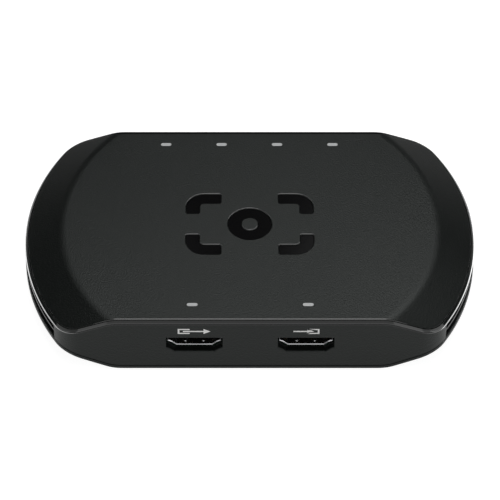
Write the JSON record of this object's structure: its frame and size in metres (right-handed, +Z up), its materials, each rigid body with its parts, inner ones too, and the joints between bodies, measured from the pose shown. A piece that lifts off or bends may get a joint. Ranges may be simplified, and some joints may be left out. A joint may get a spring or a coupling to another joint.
{
  "type": "video capture box",
  "caption": "Flat black table-top video capture box with round ends, falling wings, front video sockets, rear data and audio sockets, indicator windows and side vents.",
  "frame": {"origin": "centre of the footprint, on the surface that the feet stand on", "axes": "+X to the right seen from the front, +Y from the front with the video sockets to the back, +Z up"},
  "size_m": [0.124, 0.0734, 0.0192],
  "materials": {
    "case_plastic": "fine matt grain",
    "gloss_plastic": "gloss",
    "clear_plastic": "frosted",
    "plated_steel": "plated",
    "gold_plate": "plated",
    "socket_plastic": "moulded",
    "circuit_board": "solder resist",
    "chip_resin": "moulded",
    "heat_sink_metal": "extruded",
    "pad_silicone": "soft",
    "ceramic_body": "fired",
    "ferrite": "pressed",
    "foot_rubber": "soft"
  },
  "bodies": {
    "root": {"base_cover": "case_plastic", "mid_frame": "case_plastic", "top_cover": "case_plastic", "emblem_inlay": "gloss_plastic", "front_light_guide": "clear_plastic", "rear_light_guide": "clear_plastic", "left_vent_grille": "gloss_plastic", "right_vent_grille": "gloss_plastic", "main_board": "circuit_board", "video_out_shell": "plated_steel", "video_out_insulator": "socket_plastic", "video_out_contacts": "gold_plate", "video_in_shell": "plated_steel", "video_in_insulator": "socket_plastic", "video_in_contacts": "gold_plate", "data_socket_shell": "plated_steel", "data_socket_tongue": "socket_plastic", "data_socket_contacts": "gold_plate", "line_in_jack": "socket_plastic", "line_out_jack": "socket_plastic", "headset_jack": "socket_plastic", "audio_jack_terminals": "plated_steel", "video_processor": "chip_resin", "thermal_pad": "pad_silicone", "heat_sink": "heat_sink_metal", "memory_chips": "chip_resin", "video_receiver_chip": "chip_resin", "video_driver_chip": "chip_resin", "data_bridge_chip": "chip_resin", "audio_codec_chip": "chip_resin", "flash_chip": "chip_resin", "crystals": "plated_steel", "power_inductors": "ferrite", "bulk_capacitors": "heat_sink_metal", "ceramic_capacitors": "ceramic_body", "indicator_lights": "clear_plastic", "board_screws": "plated_steel", "case_screws": "plated_steel", "rubber_feet": "foot_rubber"}
  },
  "joints": []
}
